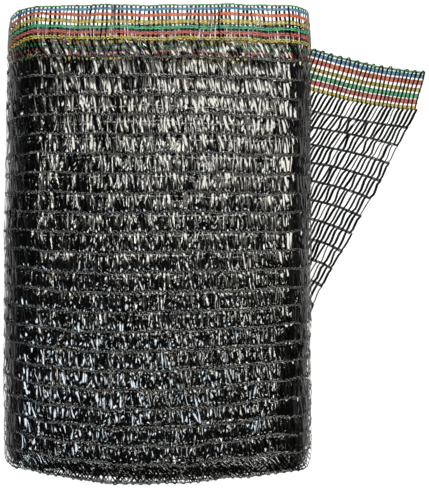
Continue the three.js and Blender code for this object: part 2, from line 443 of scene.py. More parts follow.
# How single tapes differ. The first five lengths are standard deviations.
TAPE_BOW, TAPE_BEND = 0.3 * MM, 0.28 * MM         # bowed to one side, and bent like an S
TAPE_MOVED, TAPE_SLANT = 0.22 * MM, 0.45 * MM     # moved along the cloth, and slanted
TAPE_RISE = 0.15 * MM                             # stood off the cloth
TAPE_OVER = 0.5 * MM         # how far each end of a tape runs over its chain
PAIRING = 0.42 * MM          # how far neighbours close up at the hairpin that they share
PATCH_TILT = 0.06            # how far whole patches of net are turned, in radians
HELD = 0.85                  # how much of the differences an even row loses
WIDTHS = (0.76, 1.2)         # the tapes' narrowest and widest share of their width,
EVEN_WIDTHS = (0.14, 0.1)    # and how much nearer these come to each other in an even row
THIN, THIN_WIDTH, THIN_FOLD = 0.14, 0.55, 1.3     # the share of thin tapes, their width and their thickness
CRUMPLED, CRUMPLED_TURN = 0.3, 7                  # the share of crumpled ones, and how much more these turn


def lay_tapes(strands, surface, rng, along, top, bottom, points=7, out=0.0, lean=1.2 * MM, bend=0.0,
              arch=0.45 * MM, crinkle=0.13 * MM, tilt=0.085, turn=0.07, width=1.0, fold=1.0, even=0.0):
    """The inlaid tapes between two stitch chains, one to a course. Neighbours meet in hairpins, alternately
    at the upper and the lower chain, and each stands out between the chains on round shoulders, a little
    crinkled. lean is how far a tape moves on along the cloth from chain to chain, and bend how far it bends
    like an S about that. tilt is how far a tape is turned about its own run, and turn how far it turns along
    its run. width and fold are shares of the usual width and crease. even is how little the tapes differ,
    from 0 to 1."""
    n = len(along)
    f = (0.5 - 0.5 * np.cos(math.pi * np.linspace(0, 1, points)))[None, :]
    side = np.where(np.arange(n) % 2, 1.0, -1.0)[:, None]
    free = 1 - HELD * even
    pair = PAIRING * free * side * (1 - 2 * f)
    bow = free * (rng.normal(0, TAPE_BOW, (n, 1)) * np.sin(math.pi * f)
                  + rng.normal(0, TAPE_BEND, (n, 1)) * np.sin(2 * math.pi * f))
    strayed = free * (rng.normal(0, TAPE_MOVED, (n, 1)) + rng.normal(0, TAPE_SLANT, (n, 1)) * (f - 0.5))
    run_along = along[:, None] + pair + lean * (f - 0.5) + bend * np.sin(2 * math.pi * f) + strayed + bow
    down = top - TAPE_OVER + (bottom - top + 2 * TAPE_OVER) * f
    waves, start = rng.uniform(0.8, 1.7, (n, 1)), rng.uniform(0, 1, (n, 1))
    shoulders = 1 - np.abs(2 * f - 1) ** 5
    lift = (out + rng.uniform(0.4, 1.3, (n, 1)) * arch * shoulders
            + crinkle * np.sin(2 * math.pi * (waves * f + start)) + rng.normal(0, TAPE_RISE, (n, 1)))
    path, ahead, _ = surface.place(run_along, np.broadcast_to(down, run_along.shape), lift)
    thin = (rng.uniform(0, 1, (n, 1)) < THIN) & (even < 1)
    wide = rng.uniform(WIDTHS[0] + EVEN_WIDTHS[0] * even, WIDTHS[1] - EVEN_WIDTHS[1] * even, (n, 1))
    gathered = 0.7 + 0.3 * np.sin(math.pi * f) ** 0.5
    half_width = sizes().tape_width / 2 * width * np.where(thin, THIN_WIDTH, wide) * gathered
    half_fold = sizes().tape_fold / 2 * fold * np.where(thin, THIN_FOLD, 1.0) * np.ones_like(f)
    crumpled = rng.uniform(0, 1, (n, 1)) < CRUMPLED * (1 - even)
    turning = rng.normal(0, np.where(crumpled, CRUMPLED_TURN * turn, turn), (n, 1))
    turned = (rng.normal(0, tilt, (n, 1)) + PATCH_TILT * wobble(2 * along[:, None], 2 * down, phase=0.53)
              + turning * (f - 0.5) * 2)
    across, upward = twisted(path, ahead, half_width, half_fold, turned)
    strands.add(path, across, upward, rng.uniform(0, 1, (n, 1)), TAPE)


LEG_WIDTH, LEG_OPENED = 0.66, 0.38             # a leg's share of its chain's width, less where it is open
CHAIN_STRAY, CHAIN_RISE = 0.08 * MM, 0.06 * MM     # how its points differ, across it and off the cloth
# A chain's tone is darker at each knot, where its legs close under the black tape: painted shade, with a random
# difference on top.
STITCH_TONE, STITCH_PAINTED_SHADE, STITCH_MIX = 0.55, 0.35, 0.22     # its middle tone, its wave, how it differs


def lay_chain(strands, surface, rng, start, end, down, wide, steps=3, out=0.35 * MM, thick=0.3 * MM,
              plain=False, parted=0.5, knots=0.12 * MM, slot=STITCH):
    """Chains of knitted stitches along the cloth: two legs that part and close once a course, or one plain
    leg. wide is the whole chain's width, steps its points to a course, parted how far open its stitches are,
    from 0 to 1, and knots how far they rise and fall."""
    pitch = sizes().course_pitch
    count = max(2, int(round((end - start) / pitch * steps)) + 1)
    along = np.linspace(start, end, count)[None, :]
    down = np.atleast_1d(down)[:, None]
    each = len(down), count
    phase = math.pi * along / pitch
    half = wide / 2 * (1 if plain else LEG_WIDTH - LEG_OPENED * parted)
    for leg in (0,) if plain else (-1, 1):
        offset = leg * (wide / 2 - half) * (1 - parted + parted * np.abs(np.sin(phase)))
        offset = down + offset + rng.normal(0, CHAIN_STRAY, each)
        lift = out + knots * np.cos(2 * phase) * leg + rng.normal(0, CHAIN_RISE, each)
        path, _, outward = surface.place(*np.broadcast_arrays(along, offset, lift))
        run = unit(np.gradient(path, axis=1))
        # Painted shade: the tone is darker at each knot, where the legs close.
        tone = STITCH_TONE - STITCH_PAINTED_SHADE * np.cos(2 * phase) + rng.normal(0, STITCH_MIX, each)
        strands.add(path, np.cross(outward, run) * half, outward * thick / 2, np.clip(tone, 0, 1), slot)


LOOP_STRAY, LOOP_RISE = 0.12 * MM, 0.25 * MM   # how hairpins differ, along the edge and off the cloth
LOOP_SIZES, LOOP_REACH = (0.75, 1.1), 0.18     # their narrowest and widest, and how their reach differs


def lay_hairpins(strands, surface, rng, start, end, edge, inwards, deep, out=0.0, reach=0.4 * MM,
                 wide=0.8 * MM, thick=0.45 * MM, coarse=False, slot=TAPE):
    """The loops in which the tape turns at an edge of the cloth, one to each pair of courses. edge is the
    edge's distance from the selvedge, inwards is 1 at the selvedge and -1 at the other edge, deep is how far
    in the loops go, and reach how far they stand out past the edge."""
    course = sizes().course_pitch
    middle = np.arange(start, end, 2 * course)[:, None] + course / 2
    middle = middle + rng.normal(0, LOOP_STRAY, middle.shape)
    # A loop's points: along the cloth in half courses, and in from the edge.
    if coarse:
        shape = np.array([(-1.0, deep), (-0.9, 0.4 * MM), (0.0, -reach), (0.9, 0.4 * MM), (1.0, deep)])
    else:
        shape = np.array([(-1.0, deep), (-1.0, 1.2 * MM), (-0.85, 0.0), (-0.4, -reach),
                          (0.4, -reach), (0.85, 0.0), (1.0, 1.2 * MM), (1.0, deep)])
    n = len(middle)
    loop, depth = shape[None, :, 0], shape[None, :, 1]
    along = middle + loop * (course / 2) * rng.uniform(*LOOP_SIZES, (n, 1))
    down = edge + inwards * np.where(depth < 0, depth * rng.normal(1, LOOP_REACH, (n, 1)), depth)
    lift = out + rng.normal(0, LOOP_RISE, (n, 1)) * np.ones_like(loop)
    path, _, outward = surface.place(along, down, lift)
    across = np.cross(outward, unit(np.gradient(path, axis=1))) * wide / 2
    strands.add(path, across, outward * thick / 2, rng.uniform(0, 1, (n, 1)), slot)


def net_rows():
    """How far from the selvedge each black chain lies, across the net, and the turned edge."""
    pitch = sizes().chain_pitch
    last = SELVEDGE_YARNS[-1]["at"] * MM
    return last + pitch * np.arange(1, int((ROLL_LENGTH - last) / pitch) + 1)


# --------------------------------------------------------------------------------------------------
# Materials
# --------------------------------------------------------------------------------------------------

def node(tree, kind, values=(), links=(), **settings):
    """Adds a node with its settings, socket values and links."""
    made = tree.nodes.new(kind)
    for name, value in settings.items():
        setattr(made, name, value)
    for socket, value in dict(values).items():
        made.inputs[socket].default_value = value
    for socket, source in dict(links).items():
        tree.links.new(source, made.inputs[socket])
    return made


def new_material(name):
    material = bpy.data.materials.new(name)
    material.use_nodes = True
    material.node_tree.nodes.clear()
    return material, material.node_tree


# The tape's patterns, to a metre along x, y and z: draw lines 0.4 mm apart that run for 11 mm, crinkles 2 to
# 3 mm apart, and patches of wear and dust 10 mm wide.
DRAW_LINES = (2600, 90, 2600)
CRINKLES = (520, 340, 520)
PATCHES = 95.0
LINE_DEPTH = 0.05 * MM
DUST = "8F8B80"
FILM_IOR = 1.52              # of polyethylene


def polyethylene(name, base, rough, variation, dust, crease):
    """Slit and stretched polyethylene film, knitted as a flat tape: glossy, with fine draw lines along its
    run, tone that changes from strand to strand, painted shade at the knots of the chains, and pale dust and
    stress marks here and there."""
    material, tree = new_material(name)
    place = node(tree, "ShaderNodeTexCoord").outputs["Object"]
    lines_at = node(tree, "ShaderNodeMapping", {"Scale": DRAW_LINES}, {"Vector": place}).outputs[0]
    lines = node(tree, "ShaderNodeTexNoise", {"Scale": 1.0, "Detail": 3.0},
                 {"Vector": lines_at}).outputs["Fac"]
    patches = node(tree, "ShaderNodeTexNoise", {"Scale": PATCHES, "Detail": 4.0, "Roughness": 0.6},
                   {"Vector": place}).outputs["Fac"]
    tone = node(tree, "ShaderNodeAttribute", attribute_name="tone").outputs["Fac"]
    darker = tuple(c * (1 - variation) for c in base) + (1.0,)
    lighter = tuple(min(1.0, c * (1 + variation)) for c in base) + (1.0,)
    shade = node(tree, "ShaderNodeMix", {"A": darker, "B": lighter}, {"Factor": tone}, data_type="RGBA")
    dusty = node(tree, "ShaderNodeMapRange", {"From Min": 0.56, "From Max": 0.8, "To Max": dust},
                 {"Value": patches}).outputs[0]
    dusted = node(tree, "ShaderNodeMix", {"B": linear(DUST) + (1.0,)},
                  {"Factor": dusty, "A": shade.outputs["Result"]}, data_type="RGBA")
    gloss = node(tree, "ShaderNodeMapRange", {"From Min": 0.3, "From Max": 0.75, "To Min": rough * 0.75,
                                              "To Max": rough * 1.4}, {"Value": patches}).outputs[0]
    creased_at = node(tree, "ShaderNodeMapping", {"Scale": CRINKLES}, {"Vector": place}).outputs[0]
    creased = node(tree, "ShaderNodeTexNoise", {"Scale": 1.0, "Detail": 1.0},
                   {"Vector": creased_at}).outputs["Fac"]
    crinkles = node(tree, "ShaderNodeBump", {"Strength": 1.0, "Distance": crease},
                    {"Height": creased}).outputs[0]
    bump = node(tree, "ShaderNodeBump", {"Strength": 0.35, "Distance": LINE_DEPTH},
                {"Height": lines, "Normal": crinkles}).outputs[0]
    shader = node(tree, "ShaderNodeBsdfPrincipled", {"IOR": FILM_IOR, "Specular IOR Level": 0.5},
                  {"Base Color": dusted.outputs["Result"], "Roughness": gloss, "Normal": bump})
    node(tree, "ShaderNodeOutputMaterial", links={"Surface": shader.outputs[0]})
    return material


CLOTH_UNIT = 10 * MM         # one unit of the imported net's UV map
PACKED_DRIFT = 0.35          # how far its courses drift, in those units
PACKED_DEPTH = 0.9 * MM      # how deep its relief is
# The packed net's colour between its tapes: painted shade.
PACKED_DARK = (0.002, 0.002, 0.002, 1.0)


def packed_net(name, base):
    """The net deep in the roll, where turn lies on turn: near black, with a relief of tapes and chains on each
    turn that catches a little light, and painted light and shade along its tapes, on the cloth's own measure in
    its UV map."""
    material, tree = new_material(name)
    cloth = node(tree, "ShaderNodeUVMap", uv_map="cloth").outputs[0]
    split = node(tree, "ShaderNodeSeparateXYZ", links={"Vector": cloth})
    drift = node(tree, "ShaderNodeTexNoise", {"Scale": 9.0, "Detail": 2.0}, {"Vector": cloth}).outputs["Fac"]
    along = node(tree, "ShaderNodeMath", {1: PACKED_DRIFT}, {0: drift, 2: split.outputs["X"]},
                 operation="MULTIPLY_ADD")
    courses = 2 * math.pi / (sizes().course_pitch / CLOTH_UNIT)
    turns = node(tree, "ShaderNodeMath", {1: courses}, {0: along.outputs[0]}, operation="MULTIPLY")
    tapes = node(tree, "ShaderNodeMath", links={0: turns.outputs[0]}, operation="SINE").outputs[0]
    rows = node(tree, "ShaderNodeMath", {1: sizes().chain_pitch / CLOTH_UNIT}, {0: split.outputs["Y"]},
                operation="PINGPONG").outputs[0]
    relief = node(tree, "ShaderNodeMath", links={0: tapes, 1: rows}, operation="ADD").outputs[0]
    bump = node(tree, "ShaderNodeBump", {"Strength": 0.8, "Distance": PACKED_DEPTH},
                {"Height": relief}).outputs[0]
    # Painted light and shade: the colour follows the tapes' wave, from PACKED_DARK between the tapes to the
    # tape's own colour on them.
    lit = node(tree, "ShaderNodeMapRange", {"From Min": -0.2, "From Max": 1.0}, {"Value": tapes}).outputs[0]
    shade = node(tree, "ShaderNodeMix", {"A": PACKED_DARK, "B": tuple(base) + (1.0,)}, {"Factor": lit},
                 data_type="RGBA")
    shader = node(tree, "ShaderNodeBsdfPrincipled",
                  {"IOR": FILM_IOR, "Roughness": 0.5, "Specular IOR Level": 0.4},
                  {"Base Color": shade.outputs["Result"], "Normal": bump})
    node(tree, "ShaderNodeOutputMaterial", links={"Surface": shader.outputs[0]})
    return material


def net_materials():
    """The black tape, the black stitches, the tape's turns in the roll's ends painted grey as light on their
    rims, then the selvedge yarns in order.
    """
    names = ["black polyethylene tape", "black polyethylene stitches", "scuffed polyethylene tape"]
    names += [f"{yarn['name']} polyethylene yarn" for yarn in SELVEDGE_YARNS]
    if names[TAPE] in bpy.data.materials:
        return [bpy.data.materials[name] for name in names]
    black = {"base": colours().tape, "variation": 0.5, "crease": 0.06 * MM}
    made = [polyethylene(names[TAPE], rough=0.07, dust=0.002, **black),
            polyethylene(names[STITCH], rough=0.12, dust=0.006, **black),
            # The rims' grey base and their heavier dust are painted light on the black tape's turns in the
            # roll's ends.
            polyethylene(names[RIM], colours().rims, rough=0.4, variation=0.8, dust=0.1, crease=0.06 * MM)]
    for name, yarn in zip(names[FIRST_YARN:], SELVEDGE_YARNS):
        made.append(polyethylene(name, getattr(colours(), yarn["name"]), rough=0.6, variation=0.7, dust=0.1,
                                 crease=0.05 * MM))
    return made


HIDDEN = 0.9                 # up to this quarter count a turn lies under the roll
LAP = 0.1                    # how far a knitted turn runs on past its full turn, in quarter counts
BAND_FROM = 1.0 * MM         # where the band's tapes start, in from the selvedge
LOOPS_AT = 0.6 * MM          # the line of the selvedge's hairpins
TURNED_LOOPS = {"deep": 1.5 * MM, "reach": 0.9 * MM, "thick": 0.15 * MM, "slot": STITCH}

# How the outer turn's tapes lean and crinkle, in millimetres. Both are more beside the band.
LEAN, BAND_LEAN, BAND_LEAN_OVER = 1.2, 4.5, 12 * MM
CRINKLE, BAND_CRINKLE = 0.13, 0.2
LOWER_CRINKLE = 0.13         # what is added in the lower part,
LOWER_FROM, LOWER_OVER = 120 * MM, 100 * MM    # from this place on, over this length

# --------------------------------------------------------------------------------------------------
# Operators
# --------------------------------------------------------------------------------------------------

class SHADENET_OT_outer_turn(bpy.types.Operator):
    """Knit the outer turn: its tapes, its black chains and its coloured selvedge"""
    bl_idname = "shadenet.outer_turn"
    bl_label = "Outer Turn"

    def execute(self, context):
        rng = np.random.default_rng(SEED)
        winding = Winding()
        materials = net_materials()
        pitch = sizes().course_pitch
        rows = net_rows()
        shown, end = winding.along_at(HIDDEN), winding.along_at(QUARTERS + LAP)

        tapes = Strands()
        around, under = np.arange(shown, end, pitch), np.arange(0, shown, pitch)
        for top, bottom in zip([BAND, *rows[:-1]], rows):
            lean = (LEAN + BAND_LEAN * math.exp((BAND - top) / BAND_LEAN_OVER)) * MM
            lower = LOWER_CRINKLE * ease((top - LOWER_FROM) / LOWER_OVER)
            crinkle = (CRINKLE + lower + BAND_CRINKLE * (top == BAND)) * MM
            if bottom == rows[-1]:
                lay_tapes(tapes, winding, rng, around, top, bottom, lean=9 * MM, tilt=0.1, width=0.75, fold=2)
            else:
                lay_tapes(tapes, winding, rng, around, top, bottom, lean=lean, crinkle=crinkle)
            lay_tapes(tapes, winding, rng, under, top, bottom, points=3, lean=lean, arch=0)
        net = tapes.finish("outer_turn_tapes", materials, "net")

        chains = Strands()
        lay_chain(chains, winding, rng, shown, end, rows[:-1], wide=1.9 * MM, steps=4, out=0.3 * MM,
                  parted=0.9, knots=0.3 * MM)
        lay_chain(chains, winding, rng, shown, end, rows[-1:], wide=1.2 * MM, out=0.2 * MM, thick=0.15 * MM)
        lay_chain(chains, winding, rng, 0, shown, rows, wide=1.0 * MM, steps=1, out=0, plain=True)
        lay_hairpins(chains, winding, rng, 0, end, rows[-1], -1, **TURNED_LOOPS)
        chains = chains.finish("outer_turn_chains", materials, "net")

        band = Strands()
        lay_tapes(band, winding, rng, np.arange(0, end, pitch), BAND_FROM, BAND, out=-0.1 * MM, lean=0.6 * MM,
                  arch=0.2 * MM, tilt=0.2, width=1.16, fold=5, even=0.55)
        lay_hairpins(band, winding, rng, 0, end, LOOPS_AT, 1, deep=3.2 * MM, wide=1.1 * MM)
        for place, yarn in enumerate(SELVEDGE_YARNS):
            lay_chain(band, winding, rng, 0, end, yarn["at"] * MM, yarn["wide"] * MM, out=yarn["over"] * MM,
                      thick=0.4 * MM, parted=yarn["parted"], knots=0.2 * MM, slot=FIRST_YARN + place)
        band = band.finish("outer_turn_selvedge", materials, "net")
        for piece in (net, chains, band):
            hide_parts("wound_roll")
        return {"FINISHED"}


# The turns that are knitted under the outer one: the points of their tapes, and how far those of the last
# row lean, in millimetres.
KNITTED_TURNS = (
    {"name": "second_turn", "points": 4, "lean": -9},
    {"name": "third_turn", "points": 2, "lean": 8},
)
PRESSED = 0.6                # the share of its width that a coloured chain keeps in the inner turns
RIM_YARNS = 5                # how many of the yarns show on the deeper turns' rims
CORE_ROWS = (14 * MM, 40 * MM, 110 * MM, 200 * MM, ROLL_LENGTH - 40 * MM, ROLL_LENGTH - 14 * MM)
CORE_STEPS = 8               # points to a quarter of a turn of the wound sheet
CORE_HALF = 0.3 * MM         # half its thickness


class SHADENET_OT_inner_turns(bpy.types.Operator):
    """Lay in the inner turns: the second and third knitted, the rest as one wound sheet with knitted edges"""
    bl_idname = "shadenet.inner_turns"
    bl_label = "Inner Turns"

    def execute(self, context):
        rng = np.random.default_rng(SEED + 1)
        winding = Winding()
        materials = net_materials()
        rows = net_rows()
        deeper = len(KNITTED_TURNS) + 1
        pieces = [self.knitted_turn(turn, kind, winding, rng, rows).finish(kind["name"], materials, "net")
                  for turn, kind in enumerate(KNITTED_TURNS, 1)]
        core = self.core(winding, QUARTERS * deeper)

        start, end = winding.along_at(QUARTERS * deeper + LAP), winding.arc[-1]
        edges = Strands()
        lay_hairpins(edges, winding, rng, start, end, LOOPS_AT, 1, deep=17 * MM, wide=0.9 * MM,
                     thick=0.6 * MM, coarse=True, slot=RIM)
        self.yarns(edges, winding, rng, start, end, RIM_YARNS, steps=0.5, out=0, thick=0.6 * MM)
        selvedges = edges.finish("inner_selvedges", materials, "net")
        ends = Strands()
        lay_hairpins(ends, winding, rng, start, end, rows[-1], -1, deep=16 * MM, reach=1.5 * MM,
                     wide=0.8 * MM, thick=0.7 * MM, coarse=True, slot=RIM)
        lay_chain(ends, winding, rng, start, end, rows[-1:], wide=1.0 * MM, steps=0.5, out=0, thick=0.6 * MM,
                  plain=True, slot=RIM)
        turned = ends.finish("inner_turned_edges", materials, "net")
        pieces += [selvedges, turned]
        for piece in [core, *pieces]:
            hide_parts("wound_roll")
        return {"FINISHED"}

    @staticmethod
    def yarns(strands, winding, rng, start, end, count, **lay):
        """The coloured yarns of an inner turn, pressed to plain lines."""
        for place, yarn in enumerate(SELVEDGE_YARNS[:count]):
            lay_chain(strands, winding, rng, start, end, yarn["at"] * MM, yarn["wide"] * MM * PRESSED,
                      plain=True, slot=FIRST_YARN + place, **lay)

    @classmethod
    def knitted_turn(cls, turn, kind, winding, rng, rows):
        """One turn under the outer one: its net where it may show, and its two edges all the way round."""
        pitch = sizes().course_pitch
        start, end = winding.along_at(QUARTERS * turn + LAP), winding.along_at(QUARTERS * (turn + 1) + LAP)
        seen = winding.along_at(QUARTERS * turn + HIDDEN)
        knit = Strands()
        around = np.arange(seen, end, pitch)
        for top, bottom in zip([BAND, *rows[:-1]], rows):
            if bottom == rows[-1]:
                lay_tapes(knit, winding, rng, around, top, bottom, points=4, lean=kind["lean"] * MM,
                          arch=0.1 * MM, tilt=0.1, width=0.85, fold=2)
            else:
                lay_tapes(knit, winding, rng, around, top, bottom, points=kind["points"], arch=0.25 * MM)
        lay_chain(knit, winding, rng, seen, end, rows, wide=1.1 * MM, steps=1, out=0.1 * MM, plain=True)
        lay_tapes(knit, winding, rng, np.arange(start, end, pitch), BAND_FROM, BAND, points=4, lean=0.6 * MM,
                  arch=0, tilt=0.2, width=0.7, even=1)
        lay_hairpins(knit, winding, rng, start, end, LOOPS_AT, 1, deep=3 * MM)
        lay_hairpins(knit, winding, rng, start, end, rows[-1], -1, **TURNED_LOOPS)
        cls.yarns(knit, winding, rng, start, end, len(SELVEDGE_YARNS), steps=1, out=-0.2 * MM)
        return knit

    @staticmethod
    def core(winding, first):
        """The deeper turns, from the first quarter count on, as one thin closed sheet in the same spiral."""
        turns = sizes().turns
        along = winding.along_at(np.linspace(first, turns * QUARTERS, turns * QUARTERS * CORE_STEPS))[:, None]
        down = np.array(CORE_ROWS)[None, :]
        corners = np.concatenate([
            winding.place(*np.broadcast_arrays(along, down, side * CORE_HALF))[0].reshape(-1, 3)
            for side in (1, -1)])
        n, m = len(along), len(CORE_ROWS)
        index = np.arange(n * m).reshape(n, m)
        other = index + n * m

        def quads(a, b, c, d):
            return np.stack([a, b, c, d], -1).reshape(-1, 4)

        faces = np.concatenate([
            quads(index[:-1, :-1], index[:-1, 1:], index[1:, 1:], index[1:, :-1])[:, ::-1],
            quads(other[:-1, :-1], other[:-1, 1:], other[1:, 1:], other[1:, :-1]),
            quads(index[:-1, 0], index[1:, 0], other[1:, 0], other[:-1, 0])[:, ::-1],
            quads(index[:-1, -1], index[1:, -1], other[1:, -1], other[:-1, -1]),
            quads(index[0, :-1], index[0, 1:], other[0, 1:], other[0, :-1]),
            quads(index[-1, :-1], index[-1, 1:], other[-1, 1:], other[-1, :-1])[:, ::-1],
        ])
        mesh = bpy.data.meshes.new("inner_turns")
        mesh.from_pydata(corners.tolist(), [], faces.tolist())
        cloth = np.stack(np.broadcast_arrays(along, down), -1).reshape(-1, 2) / CLOTH_UNIT
        cloth = np.concatenate([cloth, cloth])
        mesh.uv_layers.new(name="cloth").data.foreach_set("uv", cloth[faces.ravel()].ravel())
        mesh.polygons.foreach_set("use_smooth", np.ones(len(faces), dtype=bool))
        mesh.materials.append(packed_net("packed black net", colours().tape))
        core = bpy.data.objects.new("inner_turns", mesh)
        bpy.context.scene.collection.objects.link(core)
        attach(core, BODY)
        return core


# The loose end on the surface. Its tip and the foot of its stiff band are given from the frame's far corner.
TIP_BACK = 21.0 * MM               # how far the tip lies below the loose end's highest place
BAND_FOOT = (7.4 * MM, 46.2 * MM)  # the foot of the band on the cut edge, from the same corner
ROW_FALL = (12.4, 11.8)            # the selvedge's and the band foot's fall to the right, in degrees
NET_FALL = (10.8, 1.45)            # the first chain's fall, and how much more each further chain falls
FALL_SHARE = 1.1                   # the rows fall by this many times these at the cut,
FALL_LOST, FALL_OVER = 0.2, 80 * MM     # and lose this much of that over this length
BAND_SAG = 3.1 * MM                # how far the coloured band sags between its tip and the roll
BAND_SHOWN = 78 * MM               # how much of it lies clear of the roll
LOOSE_ROW = 13.6 * MM              # along the cut edge from chain to chain, in the askew net
LOOSE_LEFT = 77 * MM               # the x at which its rows stop, under the roll's side
LOOSE_LIFT = 0.75 * MM             # how high it lies at its lowest,
LOOSE_WAVE = 0.4 * MM              # and half of what its waves add
LOOSE_PULL = 1.07                  # the loose net is pulled this much longer along its chains
LOOSE_ARCH = 0.9 * MM              # how far its lower chains arch upwards
LOOSE_STRAY = (0.9 * MM, 0.3 * MM)      # how far its courses and its rows stray
LOOSE_CHAINS = 12                  # how many chains it is given below the band
LOOSE_REACH = 130 * MM             # longer than any of its rows
CUT_OVER = 0.2 * MM                # how far its strands stand past the cut


class LooseSheet:
    """The askew sheet of the loose end. along is measured from the cut edge towards the roll, and down from
    the selvedge."""

    def __init__(self):
        self.tip = np.array([LOOSE_HIGH[0], LOOSE_HIGH[1] - TIP_BACK])
        self.foot = np.array([LOOSE_HIGH[0] - BAND_FOOT[0], LOOSE_HIGH[1] - BAND_FOOT[1]])
        self.slant = unit(LOOSE_LOW[:2] - self.foot)
        self.row_step = LOOSE_ROW / sizes().chain_pitch

    def place(self, along, down, out):
        """Points on the sheet, with the unit vectors along the cloth and out of it."""
        along, down, out = np.broadcast_arrays(along, down, out)
        shift = LOOSE_PULL * along + LOOSE_STRAY[0] * wobble(along, down, phase=0.2)
        in_band = np.clip(down / BAND, None, 1)
        beyond = np.maximum(down - BAND, 0)
        rows = beyond / sizes().chain_pitch
        edge = (self.tip + in_band[..., None] * (self.foot - self.tip)
                + (beyond * self.row_step)[..., None] * self.slant)
        first = ROW_FALL[1] + (NET_FALL[0] - ROW_FALL[1]) * np.clip(rows, 0, 1)
        fall = np.where(down < BAND, ROW_FALL[0] + (ROW_FALL[1] - ROW_FALL[0]) * in_band,
                        first + NET_FALL[1] * np.maximum(rows - 1, 0))
        fall = np.radians(fall * (FALL_SHARE - FALL_LOST * np.clip(along / FALL_OVER, 0, 1)))
        x = edge[..., 0] - shift * np.cos(fall)
        sag = BAND_SAG * np.sin(math.pi * np.clip(shift / BAND_SHOWN, 0, 1)) * (1 - np.clip(rows / 2, 0, 1))
        shown = np.maximum(edge[..., 0] - ROLL_HIGH[0], 10 * MM)
        arch = LOOSE_ARCH * np.clip((rows - 1) / 3, 0, 1) * np.sin(math.pi * np.clip(shift / shown, 0, 1))
        y = edge[..., 1] + shift * np.sin(fall) - sag + arch + LOOSE_STRAY[1] * wobble(along, down, phase=0.5)
        z = LOOSE_LIFT + out + LOOSE_WAVE * (1 + wobble(along, down, phase=0.9))
        place = np.stack([x, y, z], -1)
        ahead = np.stack([-np.cos(fall), np.sin(fall), np.zeros_like(fall)], -1)
        outward = np.zeros_like(place)
        outward[..., 2] = 1
        return place, ahead, outward


class SHADENET_OT_loose_end(bpy.types.Operator):
    """Knit the loose end: one layer, pulled askew, with its cut edge and coloured selvedge"""
    bl_idname = "shadenet.loose_end"
    bl_label = "Loose End"

    def execute(self, context):
        rng = np.random.default_rng(SEED + 2)
        sheet = LooseSheet()
        materials = net_materials()
        pitch = sizes().course_pitch
        rows = BAND + sizes().chain_pitch * np.arange(0, LOOSE_CHAINS + 1)

        def reach(down):
            """How far along the row reaches before it is under the roll's flat underside."""
            along = np.arange(0, LOOSE_REACH, pitch / 2)
            place, _, _ = sheet.place(along, down, 0.0)
            return float(along[np.sum(place[:, 0] > LOOSE_LEFT) - 1]) if place[0, 0] > LOOSE_LEFT else 0.0

        net = Strands()
        for top, bottom in zip(rows[:-1], rows[1:]):
            along = np.arange(-CUT_OVER, reach((top + bottom) / 2), pitch)
            if len(along):
                lay_tapes(net, sheet, rng, along, top, bottom, out=0.4 * MM, lean=0.6 * MM, bend=0.35 * MM,
                          arch=0.3 * MM, tilt=0.05, turn=0.02, width=1.1, fold=9,
                          even=0.9 if top < BAND + pitch else 0.4)
        for down in rows[1:]:
            far = reach(down)
            if far > pitch:
                lay_chain(net, sheet, rng, -CUT_OVER, far, down, wide=1.8 * MM, out=0.1 * MM)
        courses = np.arange(0.6 * MM, reach(BAND / 2), pitch)
        lay_tapes(net, sheet, rng, courses, 0.8 * MM, BAND, points=10, out=0.7 * MM, lean=0, arch=0,
                  tilt=0.05, turn=0.02, width=0.74, fold=8, even=1)
        lay_hairpins(net, sheet, rng, 0.6 * MM, reach(0), LOOPS_AT, 1, deep=3.2 * MM, out=0.5 * MM,
                     reach=1.3 * MM, wide=1.0 * MM)
        body = net.finish("loose_end_net", materials, "loose_net", folded=True)

        yarns = Strands()
        for place, yarn in enumerate(SELVEDGE_YARNS):
            at = yarn["at"] * MM
            lay_chain(yarns, sheet, rng, 0, reach(at), at, yarn["loose"] * MM, out=0.1 * MM, thick=0.5 * MM,
                      parted=0.3, slot=FIRST_YARN + place)
        yarns = yarns.finish("loose_end_selvedge", materials, "loose_net")
        for piece in (body, yarns):
            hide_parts("loose_end")
        # Flat, it is as long as its selvedge and as deep as its last row, and the cut makes each row shorter.
        area = pitch * sum(reach(down) for down in np.arange(0, rows[-1], pitch))
        reach(0)
        return {"FINISHED"}


CAMERA_RIGHT = 37.3 * MM     # how far to the right of the roll's middle the camera stands,
CAMERA_HIGH = 0.87           # how far above it,
CAMERA_LENS = 97.2           # and its focal length in millimetres

# The soft lamps, in metres and watts. aim is the point that a lamp faces.
LAMPS = (
    {"name": "key", "place": (0.10, 0.29, 1.25), "aim": (0.03, 0.08, 0.0), "size": (0.44, 0.20),
     "power": 5.0, "tint": (1.0, 0.97, 0.88)},
    {"name": "fill", "place": (0.12, 0.36, 1.30), "aim": (0.03, 0.08, 0.0), "size": (0.80, 0.60),
     "power": 4.3, "tint": (1.0, 0.98, 0.86)},
    {"name": "right", "place": (0.72, 0.2, 0.85), "aim": (0.09, 0.05, 0.03), "size": (0.40, 0.5),
     "power": 13.0, "tint": (1.0, 0.97, 0.88)},
    {"name": "cool", "place": (-0.22, -0.30, 1.2), "aim": (-0.05, -0.1, 0.0), "size": (0.20, 0.20),
     "power": 2.9, "tint": (0.84, 0.95, 1.0)},
    {"name": "cool_side", "place": (-0.85, -0.35, 0.75), "aim": (-0.1, -0.1, 0.02), "size": (0.25, 0.3),
     "power": 6.0, "tint": (0.78, 0.92, 1.0)},
    {"name": "low_front", "place": (0.1, -1.3, 0.32), "aim": (0.0, -0.15, 0.03), "size": (0.9, 0.4),
     "power": 9.0, "tint": (1.0, 0.98, 0.95)},
    {"name": "back", "place": (0.1, 1.1, 0.75), "aim": (0.0, 0.15, 0.03), "size": (0.7, 0.4),
     "power": 5.5, "tint": (1.0, 0.98, 0.95)},
)

